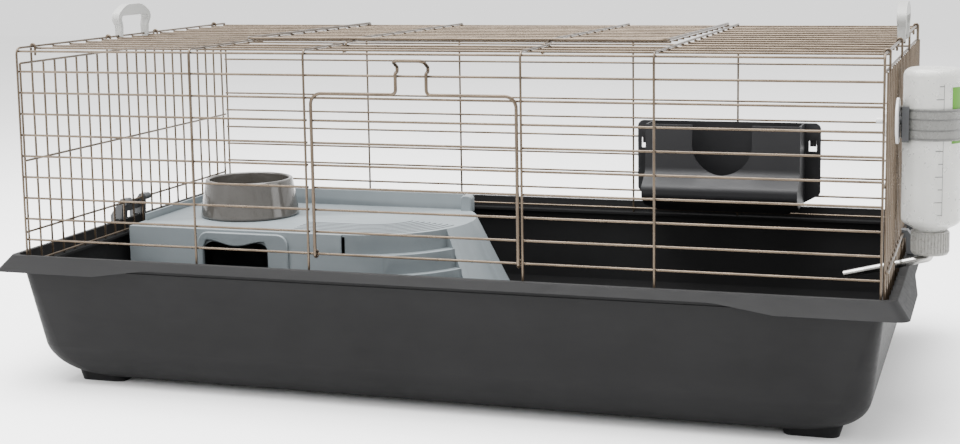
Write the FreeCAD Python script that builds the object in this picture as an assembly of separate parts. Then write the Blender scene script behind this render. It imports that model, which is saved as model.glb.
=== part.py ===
import FreeCAD, Part
import math
import os

Vector = FreeCAD.Vector

# Wire rabbit cage: a deep plastic tray, a hooked-together wire top with a front
# door and a roof lid, and the fittings that live in it. Millimetres, +Z up, the
# front door faces -Y. Sizes below are measured from the middle of the wire top
# on the ground; each piece is moved by FRAME_SHIFT_X when it is written.

# ---- wire top -------------------------------------------------------------
CAGE_LENGTH = 950.0
CAGE_DEPTH = 504.0
ROOF_Z = 385.0
WIRE_PITCH = 24.0          # front and back long wires, and the end uprights
ROOF_PITCH = 36.0          # roof long wires
BAR_R = 1.3                # mesh wire
FRAME_R = 1.8              # door and lid frame wire
WELD = 0.1                 # how far two welded wires sink into each other
GAP = 0.4                  # air between pieces that pass each other
FIT = 0.06                 # radial play of an eye or barrel on its wire
CROSS_X = (-259.0, -124.0, 116.0, 253.5)   # front uprights that bend over the roof
WIRE_BEND = 7.0

LEFT, RIGHT = -CAGE_LENGTH / 2, CAGE_LENGTH / 2
FRONT, BACK = -CAGE_DEPTH / 2, CAGE_DEPTH / 2
CROSSED = 2 * BAR_R - WELD                 # centre distance of two welded bars
END_WIRE_Z = ROOF_Z + CROSSED              # roof end wires, where the handles turn

# ---- tray -------------------------------------------------------------------
TRAY_WALL = 2.5
TRAY_FLOOR_Z = 4.0         # underside of the floor
TRAY_BOTTOM_BEND = 50.0    # outer radius between floor and wall
WALL_TOP_Z = 130.0
WALL_OUT = (3.0, 11.0)     # at that height, outward of the wires: end walls, long walls
WALL_LEAN = (0.13, 0.08)   # outward per millimetre of height: end walls, long walls
BODY_CORNER = (12.0, 48.0)                 # plan radius of the corners at the ledge and the floor
RIM_CORNER = 12.0          # plan radius of the riser's and the skirt's corners
RISER_OUT = (7.9, 9.9)     # inner face of the riser at its foot and its top
LIP_Z = 153.0
LIP_SOFTENING = 2.0
LIP_OUT = 16.0             # flat lip, outward from the wire plane
SHELF_Z = 139.5            # the wire top stands on this inner ledge
SHELF_IN = 3.5
SHELF_THICKNESS = 3.0
SKIRT_Z = 136.0
SKIRT_RAISED_Z = 144.0     # the skirt is cut up to here between the corners
SKIRT_CORNER_RUN = (95.0, 160.0)           # the deep skirt ends, and the raised skirt begins
TRAY_REACH = 29.0          # skirt edge, outward from the wire plane
FOOT_SIZE = (56.0, 44.0)
FOOT_CENTRE = (406.0, 200.0)
FOOT_HEIGHT = 20.0         # up into the bend of the tray
FOOT_SPREAD = 6.0          # wider on every side at that height

# ---- front door ---------------------------------------------------------------
DOOR_HINGE_LEVEL = 9
DOOR_TOP_LEVEL = 2
DOOR_LATCH_LEVEL = 1
DOOR_LEFT = CROSS_X[1] + 8.0
DOOR_RIGHT = CROSS_X[2] - 4.5
LATCH_HALF = 17.0

# ---- roof lid -----------------------------------------------------------------
LID_LEFT = CROSS_X[0] + 6.0
LID_RIGHT = CROSS_X[3] - 13.5
LID_FRONT_Y = FRONT + 126.0
LID_FRONT_RISE = 6.5
STRIP_WIRES = 3            # roof long wires in front of the lid

# ---- handles and clips --------------------------------------------------------
HANDLE_HEIGHT = 39.0
HANDLE_WIDTH = 79.0
HANDLE_BOSS_Y = 31.4       # the eyes turn between two roof wires
HANDLE_EYE = (4.0, 5.6)    # radius and width of an eye
HANDLE_GRIP = 14.0         # height of the crescent grip at its middle
HANDLE_THICKNESS = 10.0
CLIP_BARREL = (4.4, 14.0)  # radius and length
CLIP_RAIL_Z = 176.0
END_UPRIGHTS = round(CAGE_DEPTH / WIRE_PITCH) + 1
END_TOP_Z = 370.0
INNER_RAIL_Z = (END_TOP_Z, 259.0, 142.5)   # end rails welded inside the uprights

# ---- fittings -----------------------------------------------------------------
HOUSE_LEFT, HOUSE_FRONT, HOUSE_BACK = -463.0, -49.0, 166.0
HOUSE_TOP_Z = 150.0
HOUSE_FLOOR_Z = TRAY_FLOOR_Z + TRAY_WALL + 0.5
HOUSE_WALL = 3.0
LEFT_CHAMFER = (66.0, 50.0)                # clears the tray's curved corner, run and rise
STAIR_CENTRE = (-175.0, 78.0)
STAIR_TOP_R, STAIR_FLOOR_R = 124.0, 193.0  # cone that the stairs and the right side follow
STAIR_RISE = 23.0
STAIR_NOSE = 3.0                           # steps stand this far out of the cone
STAIR_END_DEGREES = -27.0                  # the steps end here and the plain cone begins
STAIR_THICKNESS = 16.0                     # from the cone to the stepped hollow inside
DOORWAY_X = (-360.0, -270.0)
DOORWAY_TOP_Z = 135.0
DOORWAY_BEND = 14.0
LEFT_RIM, BACK_RIM = 9.0, 20.0             # heights above the house's top
BOWL_CENTRE = (-351.0, 66.0)
BOWL_BASE_R, BOWL_TOP_R, BOWL_HEIGHT = 64.0, 56.0, 48.0
BOWL_WALL = 5.0
RACK_LEFT, RACK_RIGHT = 124.0, 360.0
RACK_BOTTOM_Z, RACK_TOP_Z = 152.0, 263.0
RACK_BACK_Y = BACK - BAR_R - 2.0
RACK_WALL = 2.5
RACK_TAB = 20.0                            # width of the back plate beside the basket
RACK_CHAMFER = (36.0, 20.0)                # lower corners, run and rise
RACK_DEPTH, RACK_BELLY = 48.0, 74.0        # of the upper basket and of the trough below it
RACK_NOTCH_R, RACK_NOTCH_DROP = 38.0, 25.0 # round notch, and its centre below the top edge
RACK_WINDOW = (10.0, 14.0)                 # square hole in each tab
BOTTLE_R = 29.5
BOTTLE_CENTRE = (513.2, -122.0)
BOTTLE_TOP_Z, BOTTLE_SHOULDER_Z = 365.0, 200.0
BOTTLE_WALL = 1.4
NECK_LENGTH = 21.0
CAP_R, CAP_HEIGHT = 19.5, 26.0
CAP_FLOOR = 2.6
NECK_R = CAP_R - 4.2
TUBE_R, TUBE_BORE_R = 4.0, 3.2
TUBE_TOP_Z = BOTTLE_SHOULDER_Z - CAP_HEIGHT - 0.6
TUBE_ELBOW = (BOTTLE_CENTRE[0], BOTTLE_CENTRE[1], TUBE_TOP_Z - 4.5)
TUBE_TIP = (427.0, BOTTLE_CENTRE[1], 147.0)
SEAT_LENGTH, SEAT_HOLE_R = 1.5, 2.2
BALL_R = 3.1
STRAP_LOW_Z, STRAP_HIGH_Z = 293.0, 325.0
STRAP_THICKNESS = 1.8
CLAMP_Z = 312.0
CLAMP_DISC_R, CLAMP_DISC = 23.5, 2.6       # radius and thickness
CLAMP_NUT_R, CLAMP_NUT_WIDTH = 15.0, 9.0
CLAMP_SCREW_R = 3.0

LEVEL_Z = [ROOF_Z - WIRE_PITCH * level for level in range(11)]
BOTTLE_STRAP_R = BOTTLE_R + STRAP_THICKNESS
FRAME_SHIFT_X = -((BOTTLE_CENTRE[0] + BOTTLE_STRAP_R) + (LEFT - TRAY_REACH)) / 2


# ---- shared geometry ----------------------------------------------------------
def rod(start, end, radius):
    start, end = Vector(*start), Vector(*end)
    return Part.makeCylinder(radius, (end - start).Length, start, end - start)


def rounded_path(points, bends):
    """Edges of a polyline whose corners are tangent arcs; bends is one radius or one per corner."""
    points = [Vector(*point) for point in points]
    if not isinstance(bends, (list, tuple)):
        bends = [bends] * (len(points) - 2)
    edges = []
    start = points[0]
    for before, corner, after, bend in zip(points, points[1:], points[2:], bends):
        arriving = (corner - before).normalize()
        leaving = (after - corner).normalize()
        half_turn = arriving.getAngle(leaving) / 2
        arc_start = corner - arriving * (bend * math.tan(half_turn))
        arc_end = corner + leaving * (bend * math.tan(half_turn))
        inward = (leaving - arriving).normalize()
        middle = corner + inward * (bend / math.cos(half_turn) - bend)
        edges.append(Part.LineSegment(start, arc_start).toShape())
        edges.append(Part.Arc(arc_start, middle, arc_end).toShape())
        start = arc_end
    edges.append(Part.LineSegment(start, points[-1]).toShape())
    return edges


def eye(centre, start, axis, degrees):
    """Arc of wire that starts at a point and goes round a hinge wire's centre."""
    spoke = Vector(*start) - Vector(*centre)
    placed = []
    for share in (0.0, 0.5, 1.0):
        turn = FreeCAD.Rotation(Vector(*axis), degrees * share)
        placed.append(Vector(*centre) + turn.multVec(spoke))
    return Part.Arc(*placed).toShape()


def bent_wire(edges, radius):
    path = Part.Wire(Part.__sortEdges__(edges))
    first = path.OrderedEdges[0]
    begin = path.OrderedVertexes[0].Point
    parameter = first.getParameterByLength(0)
    if (first.valueAt(parameter) - begin).Length > 0.001:
        parameter = first.getParameterByLength(first.Length)
    profile = Part.Wire(Part.makeCircle(radius, begin, first.tangentAt(parameter)))
    return path.makePipeShell([profile], True, False)


def group(solids):
    return Part.makeCompound(solids)


def block(low, high):
    size = Vector(*high) - Vector(*low)
    return Part.makeBox(size.x, size.y, size.z, Vector(*low))


def fused(shapes):
    return shapes[0].multiFuse(shapes[1:]).removeSplitter()


def mirrored_x(shape):
    return shape.mirror(Vector(0, 0, 0), Vector(1, 0, 0))


# ---- tray ---------------------------------------------------------------------
def rounded_rectangle(half_x, half_y, corner, height):
    """Closed wire about the Z axis, four sides and four quarter circles."""
    edges = []
    for turn in range(4):
        along, across = (half_x, half_y) if turn % 2 == 0 else (half_y, half_x)
        side = Part.LineSegment(Vector(-along + corner, -across, height),
                                Vector(along - corner, -across, height)).toShape()
        arc = Part.makeCircle(corner, Vector(along - corner, -across + corner, height),
                              Vector(0, 0, 1), -90, 0)
        for edge in (side, arc):
            edge.rotate(Vector(0, 0, 0), Vector(0, 0, 1), 90 * turn)
            edges.append(edge)
    return Part.Wire(edges)


def wall_out(height, inset, side):
    """Outward place of a wall: side 0 is an end wall, side 1 a long wall."""
    bend = TRAY_BOTTOM_BEND - inset
    centre_z = TRAY_FLOOR_Z + TRAY_BOTTOM_BEND
    lean = math.atan(WALL_LEAN[side])
    tangent_z = centre_z - bend * math.sin(lean)

    def straight(at_height):
        return WALL_OUT[side] - inset / math.cos(lean) + WALL_LEAN[side] * (at_height - WALL_TOP_Z)

    if height >= tangent_z:
        return straight(height)
    centre_out = straight(tangent_z) - bend * math.cos(lean)
    return centre_out + math.sqrt(max(bend ** 2 - (centre_z - height) ** 2, 0.0))


def body_section(height, inset):
    share = (SHELF_Z - height) / (SHELF_Z - TRAY_FLOOR_Z)
    corner = BODY_CORNER[0] + (BODY_CORNER[1] - BODY_CORNER[0]) * share ** 2 - 0.9 * inset
    return rounded_rectangle(RIGHT + wall_out(height, inset, 0), BACK + wall_out(height, inset, 1),
                             corner, height)


def tub(inset, top_z):
    """Solid that fills the tray's body set in by inset, up to a height under the lip."""
    bend = TRAY_BOTTOM_BEND - inset
    centre_z = TRAY_FLOOR_Z + TRAY_BOTTOM_BEND
    bend_z = [centre_z - bend * math.sin(math.radians(turn)) for turn in (8, 26, 44, 60, 73, 83, 90)]
    wall = Part.makeLoft([body_section(top_z, inset), body_section(bend_z[0], inset)], True, True)
    bottom = Part.makeLoft([body_section(height, inset) for height in bend_z], True, False)
    return fused([wall, bottom])


def tray():
    join_z = SHELF_Z - 1.5
    masses = [tub(0, join_z)] + [foot(side_x, side_y) for side_x in (-1, 1) for side_y in (-1, 1)]
    body = fused(masses).cut(tub(TRAY_WALL, SHELF_Z + 10.0))
    return fused([body, rim().cut(skirt_relief())])


def rim_ring(low, high, corner=RIM_CORNER):
    """Solid between two (outward, height) places all round the rim."""
    sections = [rounded_rectangle(RIGHT + out, BACK + out, corner, height) for out, height in (low, high)]
    return Part.makeLoft(sections, True, True)


def rim():
    """Ledge for the wire top, riser, flat lip and outer skirt."""
    foot_out, top_out = RISER_OUT
    lip_under = LIP_Z - TRAY_WALL
    outside = rim_ring((TRAY_REACH, SKIRT_Z), (LIP_OUT, LIP_Z))
    lip_edges = [edge for edge in outside.Edges if edge.BoundBox.ZMin > LIP_Z - 0.5]
    outside = outside.makeFillet(LIP_SOFTENING, lip_edges)
    under_skirt = rim_ring((TRAY_REACH - TRAY_WALL, SKIRT_Z - 1.0), (LIP_OUT - 1.6, lip_under))
    riser = rim_ring((foot_out + TRAY_WALL, SHELF_Z - SHELF_THICKNESS),
                     (top_out + TRAY_WALL, LIP_Z - 1.0))
    trough = rim_ring((foot_out, SHELF_Z), (top_out, LIP_Z + 1.0), RIM_CORNER - TRAY_WALL)
    inside = rim_ring((-SHELF_IN, SKIRT_Z - 1.0), (-SHELF_IN, SHELF_Z + 1.0), 4.0)
    return outside.cut(under_skirt).fuse(riser).cut(trough).cut(inside).removeSplitter()


def skirt_relief():
    """What is cut off the skirt's lower edge between the deep corners, with S-curved ends."""
    deep_run, raised_run = SKIRT_CORNER_RUN
    inner_out = LIP_OUT - 3.0

    def relief(half_length, direction):
        low, high = SKIRT_Z - 5.0, SKIRT_RAISED_Z
        wide, narrow = half_length - deep_run, half_length - raised_run
        outline = rounded_path([(-wide, 0, low), (-wide, 0, SKIRT_Z - 0.5), (-narrow, 0, high),
                                (narrow, 0, high), (wide, 0, SKIRT_Z - 0.5), (wide, 0, low)],
                               [1.0, 90.0, 90.0, 1.0])
        outline.append(Part.LineSegment(Vector(wide, 0, low), Vector(-wide, 0, low)).toShape())
        face = Part.Face(Part.Wire(Part.__sortEdges__(outline)))
        return face.extrude(Vector(0, direction * 20.0, 0))

    cutters = []
    for side in (-1, 1):
        along_x = relief(RIGHT, side)
        along_x.translate(Vector(0, side * (BACK + inner_out), 0))
        along_y = relief(BACK, side)
        along_y.rotate(Vector(0, 0, 0), Vector(0, 0, 1), -90)
        along_y.translate(Vector(side * (RIGHT + inner_out), 0, 0))
        cutters += [along_x, along_y]
    return Part.makeCompound(cutters)


def foot(side_x, side_y):
    """Tapered pad that merges into the bend of the tray above it."""
    half_x, half_y = FOOT_SIZE[0] / 2, FOOT_SIZE[1] / 2
    sections = [rounded_rectangle(half_x, half_y, 10.0, 0.0),
                rounded_rectangle(half_x + FOOT_SPREAD, half_y + FOOT_SPREAD, 16.0, FOOT_HEIGHT)]
    pad = Part.makeLoft(sections, True, True)
    pad.translate(Vector(side_x * FOOT_CENTRE[0], side_y * FOOT_CENTRE[1], 0))
    return pad


# ---- wire top: fixed mesh -------------------------------------------------------
def front_long_wires():
    wires = []
    # the top wire nestles inside the uprights' bend
    tuck = (WIRE_BEND - CROSSED) * (1 - math.sqrt(0.5))
    wires.append(rod((LEFT - 1.0, FRONT + tuck, ROOF_Z - tuck), (RIGHT + 1.0, FRONT + tuck, ROOF_Z - tuck),
                     BAR_R))
    for level, height in list(enumerate(LEVEL_Z))[1:]:
        if DOOR_TOP_LEVEL < level < DOOR_HINGE_LEVEL:
            spans = ((LEFT - 1.0, CROSS_X[1] + 1.5), (CROSS_X[2] - 1.5, RIGHT + 1.0))
        else:
            spans = ((LEFT - 1.0, RIGHT + 1.0),)
        wires += [rod((low, FRONT, height), (high, FRONT, height), BAR_R) for low, high in spans]
    return group(wires)


def bent_cross_wire(x, rear_y):
    """A front upright that bends back over the roof."""
    plane_y, plane_z = FRONT - CROSSED, ROOF_Z + CROSSED
    points = [(x, plane_y, SHELF_Z), (x, plane_y, plane_z), (x, rear_y, plane_z)]
    return bent_wire(rounded_path(points, WIRE_BEND), BAR_R)


def front_cross_wires():
    strip_end = FRONT + STRIP_WIRES * ROOF_PITCH + BAR_R
    rear = BACK + CROSSED
    reach = {LEFT: rear, CROSS_X[0]: rear, CROSS_X[1]: strip_end,
             CROSS_X[2]: strip_end, CROSS_X[3]: rear, RIGHT: rear}
    return group([bent_cross_wire(x, rear_y) for x, rear_y in reach.items()])


def roof_long_wires():
    wires = []
    for index in range(1, round(CAGE_DEPTH / ROOF_PITCH)):
        y = FRONT + index * ROOF_PITCH
        if index <= STRIP_WIRES:
            spans = ((LEFT - 1.0, RIGHT + 1.0),)
        else:
            spans = ((LEFT - 1.0, CROSS_X[0] + 1.5), (CROSS_X[3] - 1.5, RIGHT + 1.0))
        wires += [rod((low, y, ROOF_Z), (high, y, ROOF_Z), BAR_R) for low, high in spans]
    return group(wires)


def back_long_wires():
    missing_level = 3      # the hay rack's hooks need a taller gap here
    wires = []
    for level, height in enumerate(LEVEL_Z):
        if level != missing_level:
            wires.append(rod((LEFT - 1.0, BACK, height), (RIGHT + 1.0, BACK, height), BAR_R))
    return group(wires)


def back_cross_wires():
    y = BACK + CROSSED
    return group([rod((x, y, SHELF_Z), (x, y, ROOF_Z + BAR_R), BAR_R)
                  for x in (LEFT,) + CROSS_X + (RIGHT,)])


def end_plane(side):
    return side * (RIGHT + BAR_R + FIT + BAR_R)


def end_upright_y(index):
    spread = CAGE_DEPTH - 14.0
    return -spread / 2 + spread * index / (END_UPRIGHTS - 1)


def end_uprights(side):
    x = end_plane(side)
    return group([rod((x, end_upright_y(index), SHELF_Z), (x, end_upright_y(index), END_TOP_Z), BAR_R)
                  for index in range(END_UPRIGHTS)])


def end_rails(side):
    """Three rails inside the uprights and the clip's rail outside them."""
    reach = BACK - 4.0
    inner_x = end_plane(side) - side * CROSSED
    outer_x = end_plane(side) + side * CROSSED
    places = [(inner_x, height) for height in INNER_RAIL_Z] + [(outer_x, CLIP_RAIL_Z)]
    return group([rod((x, -reach, height), (x, reach, height), BAR_R) for x, height in places])


def end_hooks(side):
    """Inverted U hooks that hang the end panel on the roof's end wire."""
    over_r = BAR_R + FIT + BAR_R
    hooks = []
    for index in (1, 8, END_UPRIGHTS - 9, END_UPRIGHTS - 2):
        y = end_upright_y(index)
        outer_x = end_plane(side)
        inner_x = side * (RIGHT - over_r)
        edges = [Part.LineSegment(Vector(outer_x, y, END_TOP_Z),
                                  Vector(outer_x, y, END_WIRE_Z)).toShape(),
                 Part.Arc(Vector(outer_x, y, END_WIRE_Z), Vector(side * RIGHT, y, END_WIRE_Z + over_r),
                          Vector(inner_x, y, END_WIRE_Z)).toShape(),
                 Part.LineSegment(Vector(inner_x, y, END_WIRE_Z),
                                  Vector(inner_x, y, ROOF_Z - 8.0)).toShape()]
        hooks.append(bent_wire(edges, BAR_R))
    return group(hooks)


# ---- front door -------------------------------------------------------------------
def door_frame():
    """One bent wire: eye, leg, rounded top with the latch loop, leg, eye."""
    hinge_z = LEVEL_Z[DOOR_HINGE_LEVEL]
    eye_r = BAR_R + FIT + FRAME_R
    foot_y = FRONT - eye_r
    plane_y = foot_y - GAP
    top_z = LEVEL_Z[DOOR_TOP_LEVEL] + 5.0
    middle = (DOOR_LEFT + DOOR_RIGHT) / 2
    over_z = LEVEL_Z[DOOR_LATCH_LEVEL] + BAR_R + FRAME_R + 2 * GAP
    loop_y, loop_z = FRONT - 12.0, over_z + 13.0

    def half(leg_x, latch_x):
        return [(leg_x, foot_y, hinge_z), (leg_x, foot_y, hinge_z + 30.0), (leg_x, plane_y, top_z),
                (latch_x, plane_y, top_z), (latch_x, plane_y, over_z), (latch_x, FRONT + 2.6, over_z),
                (latch_x, FRONT + 2.6, over_z + 5.5), (latch_x, loop_y, loop_z)]

    left = half(DOOR_LEFT, middle - LATCH_HALF)
    right = half(DOOR_RIGHT, middle + LATCH_HALF)
    side_bends = [20.0, 12.0, 5.0, 3.0, 2.3, 2.3]
    bends = side_bends + [6.0, 6.0] + side_bends[::-1]
    edges = rounded_path(left + right[::-1], bends)
    for leg_x in (DOOR_LEFT, DOOR_RIGHT):
        edges.append(eye((leg_x, FRONT, hinge_z), (leg_x, foot_y, hinge_z), (1, 0, 0), 300))
    return bent_wire(edges, FRAME_R)


def door_bars():
    """Bars welded inside the legs, which lean outward a little on their way up."""
    hinge_z, top_z = LEVEL_Z[DOOR_HINGE_LEVEL], LEVEL_Z[DOOR_TOP_LEVEL] + 5.0
    foot_y = FRONT - BAR_R - FIT - FRAME_R
    bars = []
    for height in LEVEL_Z[DOOR_TOP_LEVEL + 1:DOOR_HINGE_LEVEL]:
        share = max((height - hinge_z - 30.0) / (top_z - hinge_z - 30.0), 0.0)
        y = foot_y - GAP * share + FRAME_R + BAR_R - WELD
        bars.append(rod((DOOR_LEFT - 1.0, y, height), (DOOR_RIGHT + 1.0, y, height), BAR_R))
    return group(bars)


# ---- roof lid ---------------------------------------------------------------------
def lid_rise(y, hinge_rise):
    """Height of the lid's wires above the roof wires at a depth."""
    share = (BACK - 20.0 - y) / (BACK - 20.0 - LID_FRONT_Y)
    return hinge_rise + (LID_FRONT_RISE - hinge_rise) * max(share, 0.0)


def lid_frame():
    eye_r = BAR_R + FIT + FRAME_R
    hinge_z, front_z = ROOF_Z + eye_r, ROOF_Z + LID_FRONT_RISE
    points = [(LID_LEFT, BACK, hinge_z), (LID_LEFT, BACK - 20.0, hinge_z),
              (LID_LEFT, LID_FRONT_Y, front_z), (LID_RIGHT, LID_FRONT_Y, front_z),
              (LID_RIGHT, BACK - 20.0, hinge_z), (LID_RIGHT, BACK, hinge_z)]
    edges = rounded_path(points, [20.0, 10.0, 10.0, 20.0])
    for x in (LID_LEFT, LID_RIGHT):
        edges.append(eye((x, BACK, ROOF_Z), (x, BACK, hinge_z), (1, 0, 0), -300))
    return bent_wire(edges, FRAME_R)


def lid_cross_wires():
    eye_r = BAR_R + FIT + BAR_R
    hinge_z = ROOF_Z + eye_r
    wires = []
    for x in (CROSS_X[1] + 5.0, CROSS_X[2] - 5.0):
        points = [(x, BACK, hinge_z), (x, BACK - 20.0, hinge_z),
                  (x, LID_FRONT_Y + FRAME_R, ROOF_Z + LID_FRONT_RISE)]
        edges = rounded_path(points, 20.0)
        edges.append(eye((x, BACK, ROOF_Z), (x, BACK, hinge_z), (1, 0, 0), -300))
        wires.append(bent_wire(edges, BAR_R))
    return group(wires)


def lid_bars():
    """Long wires welded under the lid's frame and cross wires."""
    wires = []
    last_index = round(CAGE_DEPTH / ROOF_PITCH) - 1
    for index in range(STRIP_WIRES + 1, last_index + 1):
        y = FRONT + index * ROOF_PITCH
        z = ROOF_Z + lid_rise(y, BAR_R + FIT + FRAME_R) - FRAME_R - BAR_R + WELD
        wires.append(rod((LID_LEFT - 1.0, y, z), (LID_RIGHT + 1.0, y, z), BAR_R))
    return group(wires)


def lid_latches():
    """Short hooks under the lid's front wire that reach over the last strip wire."""
    strip_y = FRONT + STRIP_WIRES * ROOF_PITCH
    hook_z = ROOF_Z + LID_FRONT_RISE - FRAME_R - BAR_R + WELD
    front_y = strip_y - 2 * BAR_R - GAP - 1.2
    hooks = []
    for x in (CROSS_X[1] + 5.0, CROSS_X[2] - 5.0):
        points = [(x, LID_FRONT_Y + 12.0, hook_z), (x, front_y, hook_z),
                  (x, front_y, ROOF_Z - 6.0), (x, front_y - 8.0, ROOF_Z - 6.0)]
        hooks.append(bent_wire(rounded_path(points, 2.5), BAR_R))
    return group(hooks)


# ---- handles and clips --------------------------------------------------------------
def handle():
    """Carrying handle on the right end wire, upright: two legs and a crescent grip."""
    eye_r, eye_width = HANDLE_EYE
    axis = END_WIRE_Z
    top = axis + HANDLE_HEIGHT
    wide, narrow = HANDLE_WIDTH / 2, HANDLE_BOSS_Y + eye_width / 2
    inner = HANDLE_BOSS_Y - eye_width / 2
    half = [(narrow, axis + 12.0), (wide, axis + 20.0), (wide, top - 12.0), (20.0, top)]
    inside = [(inner, axis + 12.0), (wide - 6.0, top - HANDLE_GRIP)]
    points = [(-narrow, axis)] + [(-y, z) for y, z in half] + half[::-1]
    points += [(narrow, axis), (inner, axis)] + inside + [(-y, z) for y, z in inside[::-1]]
    points += [(-inner, axis), (-narrow, axis)]
    bends = [5.0, 4.0, 10.0, 40.0, 40.0, 10.0, 4.0, 5.0, 0.5, 0.5, 5.0, 4.0, 4.0, 5.0, 0.5]
    outline = rounded_path([(0, y, z) for y, z in points], bends)
    slab = Part.Face(Part.Wire(Part.__sortEdges__(outline))).extrude(Vector(HANDLE_THICKNESS, 0, 0))
    slab.translate(Vector(RIGHT - HANDLE_THICKNESS / 2, 0, 0))
    half_x = HANDLE_THICKNESS / 2
    taper_points = [(-eye_r, axis - 1.0), (eye_r, axis - 1.0), (half_x, axis + 22.0), (half_x, top + 1.0),
                    (-half_x, top + 1.0), (-half_x, axis + 22.0), (-eye_r, axis - 1.0)]
    taper = Part.Face(Part.makePolygon([Vector(RIGHT + x, -60.0, z) for x, z in taper_points]))
    body = slab.common(taper.extrude(Vector(0, 120.0, 0)))
    eyes = [rod((RIGHT, side * HANDLE_BOSS_Y - eye_width / 2, axis),
                (RIGHT, side * HANDLE_BOSS_Y + eye_width / 2, axis), eye_r) for side in (-1, 1)]
    bore = rod((RIGHT, -60.0, axis), (RIGHT, 60.0, axis), BAR_R + FIT)
    return fused([body] + eyes).cut(bore)


def tray_clip():
    """Lever that snaps round the right end panel's rail and presses on the tray's lip."""
    rail_x = end_plane(1) + CROSSED
    barrel_r, barrel_length = CLIP_BARREL
    tip_x = RIGHT + LIP_OUT + 7.0
    barrels, legs = [], []
    pitch = end_upright_y(1) - end_upright_y(0)
    for y in (-pitch, pitch):
        low_y, high_y = y - barrel_length / 2, y + barrel_length / 2
        barrels.append(rod((rail_x, low_y, CLIP_RAIL_Z), (rail_x, high_y, CLIP_RAIL_Z), barrel_r))
        points = [(rail_x, CLIP_RAIL_Z + 4.0), (rail_x + 5.0, CLIP_RAIL_Z + 4.0),
                  (tip_x + 2.5, LIP_Z + 6.0), (tip_x + 2.5, LIP_Z - 8.0), (tip_x, LIP_Z - 8.0),
                  (tip_x - 3.0, LIP_Z + 1.0), (rail_x + 4.0, LIP_Z + 1.0),
                  (rail_x + 3.0, CLIP_RAIL_Z - 3.0), (rail_x, CLIP_RAIL_Z - 3.0)]
        outline = Part.makePolygon([Vector(x, low_y, z) for x, z in points + [points[0]]])
        legs.append(Part.Face(outline).extrude(Vector(0, barrel_length, 0)))
    # the bridge sits low so that it clears the uprights when the clip swings up
    bridge = block((rail_x + 5.6, -pitch - barrel_length / 2, CLIP_RAIL_Z - 14.0),
                   (rail_x + 8.6, pitch + barrel_length / 2, CLIP_RAIL_Z - 2.5))
    bore = rod((rail_x, -60.0, CLIP_RAIL_Z), (rail_x, 60.0, CLIP_RAIL_Z), BAR_R + FIT)
    return fused(barrels + legs + [bridge]).cut(bore)


# ---- hideaway house and bowl ----------------------------------------------------------

def cone_radius(height):
    share = (HOUSE_TOP_Z - height) / (HOUSE_TOP_Z - HOUSE_FLOOR_Z)
    return STAIR_TOP_R + (STAIR_FLOOR_R - STAIR_TOP_R) * share


def main_block(inset, low_z, right):
    """Straight part of the house, its lower left edge cut away for the tray's bend."""
    run, rise = LEFT_CHAMFER
    left, top = HOUSE_LEFT + inset, HOUSE_TOP_Z - inset
    slant = inset * 1.1
    points = [(left, HOUSE_FLOOR_Z + rise), (left, top), (right, top), (right, low_z),
              (left + run + slant, low_z)]
    outline = Part.makePolygon([Vector(x, HOUSE_FRONT + inset, z) for x, z in points + [points[0]]])
    return Part.Face(outline).extrude(Vector(0, HOUSE_BACK - HOUSE_FRONT - 2 * inset, 0))


def stair_wedge(start_degrees, end_degrees):
    """Plan sector about the stairs' centre, tall enough to cut any step."""
    reach = 400.0
    corners = [Vector(*STAIR_CENTRE, 0)]
    for degrees in (start_degrees, (start_degrees + end_degrees) / 2, end_degrees):
        turn = math.radians(degrees)
        corners.append(Vector(STAIR_CENTRE[0] + reach * math.cos(turn),
                              STAIR_CENTRE[1] + reach * math.sin(turn), 0))
    corners.append(corners[0])
    return Part.Face(Part.makePolygon(corners)).extrude(Vector(0, 0, HOUSE_TOP_Z + 10.0))


def step_heights(highest):
    """Heights of the treads from the highest one down to the last above the floor."""
    heights = []
    while highest > HOUSE_FLOOR_Z + STAIR_RISE / 2:
        heights.append(highest)
        highest -= STAIR_RISE
    return heights


def house_masses():
    """Everything the house fills, before it is hollowed out."""
    centre = Vector(*STAIR_CENTRE, HOUSE_FLOOR_Z)
    full_height = HOUSE_TOP_Z - HOUSE_FLOOR_Z
    between_walls = block((STAIR_CENTRE[0], HOUSE_FRONT, 0), (RIGHT, HOUSE_BACK, HOUSE_TOP_Z))
    cone = Part.makeCone(STAIR_FLOOR_R, STAIR_TOP_R, full_height, centre)
    masses = [main_block(0, HOUSE_FLOOR_Z, STAIR_CENTRE[0]),
              cone.common(between_walls).common(stair_wedge(STAIR_END_DEGREES, 91.0)),
              Part.makeCylinder(STAIR_TOP_R, full_height, centre).common(between_walls)]
    steps = stair_wedge(-91.0, STAIR_END_DEGREES)
    for height in step_heights(HOUSE_TOP_Z - STAIR_RISE):
        step = Part.makeCylinder(cone_radius(height) + STAIR_NOSE, height - HOUSE_FLOOR_Z, centre)
        masses.append(step.common(between_walls).common(steps))
    return fused(masses)


def house_doorway(low_z):
    left, right = DOORWAY_X
    edges = rounded_path([(left, 0, low_z), (left, 0, DOORWAY_TOP_Z), (right, 0, DOORWAY_TOP_Z),
                          (right, 0, low_z)], DOORWAY_BEND)
    edges.append(Part.LineSegment(Vector(right, 0, low_z), Vector(left, 0, low_z)).toShape())
    opening = Part.Face(Part.Wire(Part.__sortEdges__(edges))).extrude(Vector(0, 12.0, 0))
    opening.translate(Vector(0, HOUSE_FRONT - 5.0, 0))
    return opening


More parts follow.
